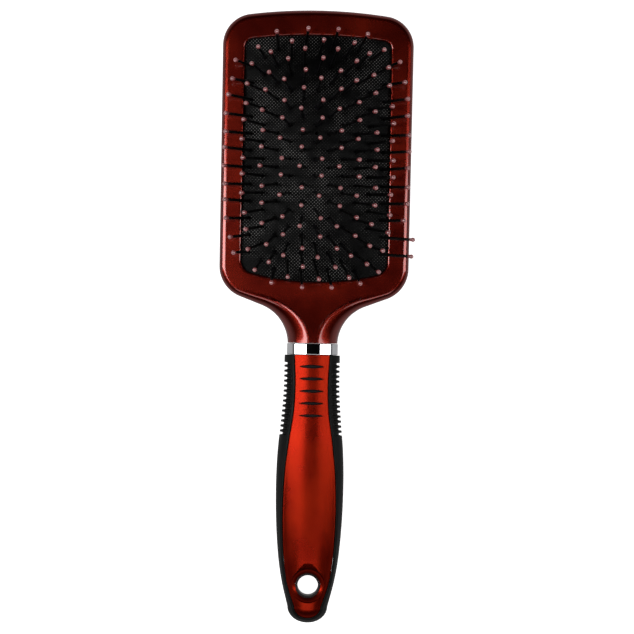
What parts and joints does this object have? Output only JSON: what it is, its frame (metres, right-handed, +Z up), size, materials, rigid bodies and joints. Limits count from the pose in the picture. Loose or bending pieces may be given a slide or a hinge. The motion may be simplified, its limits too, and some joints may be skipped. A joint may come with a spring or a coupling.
{
  "type": "paddle hair brush",
  "caption": "Paddle hair brush with a rectangular head, an air cushion carrying ball-ended pins, a metal ferrule and a ribbed rubber-gripped handle with a hanging hole.",
  "frame": {"origin": "centre of the brush's length and width, on the plane of the head's flat back", "axes": "+Z up out of the pins, +Y from the handle's end to the top of the head, +X across the head"},
  "size_m": [0.0782, 0.245, 0.038],
  "materials": {
    "head_red": "glossy dark red, slightly metallic",
    "cushion_rubber": "satin black with a fine woven texture",
    "pin_nylon": "satin black nylon",
    "tip_pink": "glossy dusty pink",
    "chrome": "polished chrome",
    "handle_red": "metallic red lacquer on plastic",
    "grip_rubber": "satin black",
    "liner_black": "satin black"
  },
  "bodies": {
    "brush": {"head_tray": "head_red", "head_frame": "head_red", "cushion": "cushion_rubber", "ferrule": "chrome", "handle_core": "handle_red", "rubber_grip": "grip_rubber", "grip_bars": "grip_rubber", "hang_liner": "liner_black"},
    "zone_1": {"pins_1": "pin_nylon", "tips_1": "tip_pink"},
    "zone_2": {"pins_2": "pin_nylon", "tips_2": "tip_pink"},
    "zone_3": {"pins_3": "pin_nylon", "tips_3": "tip_pink"},
    "zone_4": {"pins_4": "pin_nylon", "tips_4": "tip_pink"},
    "zone_5": {"pins_5": "pin_nylon", "tips_5": "tip_pink"},
    "zone_6": {"pins_6": "pin_nylon", "tips_6": "tip_pink"}
  },
  "joints": [
    {"name": "press_1", "type": "slide", "parent": "brush", "child": "zone_1", "axis": [0, 0, -1], "range_m": [0, 0.003], "stiffness_N_per_m": 150, "deforming": ["cushion"]},
    {"name": "press_2", "type": "slide", "parent": "brush", "child": "zone_2", "axis": [0, 0, -1], "range_m": [0, 0.00252], "stiffness_N_per_m": 150},
    {"name": "press_3", "type": "slide", "parent": "brush", "child": "zone_3", "axis": [0, 0, -1], "range_m": [0, 0.00205], "stiffness_N_per_m": 150},
    {"name": "press_4", "type": "slide", "parent": "brush", "child": "zone_4", "axis": [0, 0, -1], "range_m": [0, 0.00141], "stiffness_N_per_m": 200},
    {"name": "press_5", "type": "slide", "parent": "brush", "child": "zone_5", "axis": [0, 0, -1], "range_m": [0, 0.000914], "stiffness_N_per_m": 80},
    {"name": "press_6", "type": "slide", "parent": "brush", "child": "zone_6", "axis": [0, 0, -1], "range_m": [0, 0.000515], "stiffness_N_per_m": 200}
  ],
  "couplings": [
    {"joint": "press_2", "follows": "press_1", "ratio": 0.841},
    {"joint": "press_3", "follows": "press_1", "ratio": 0.682},
    {"joint": "press_4", "follows": "press_1", "ratio": 0.469},
    {"joint": "press_5", "follows": "press_1", "ratio": 0.304},
    {"joint": "press_6", "follows": "press_1", "ratio": 0.171}
  ]
}
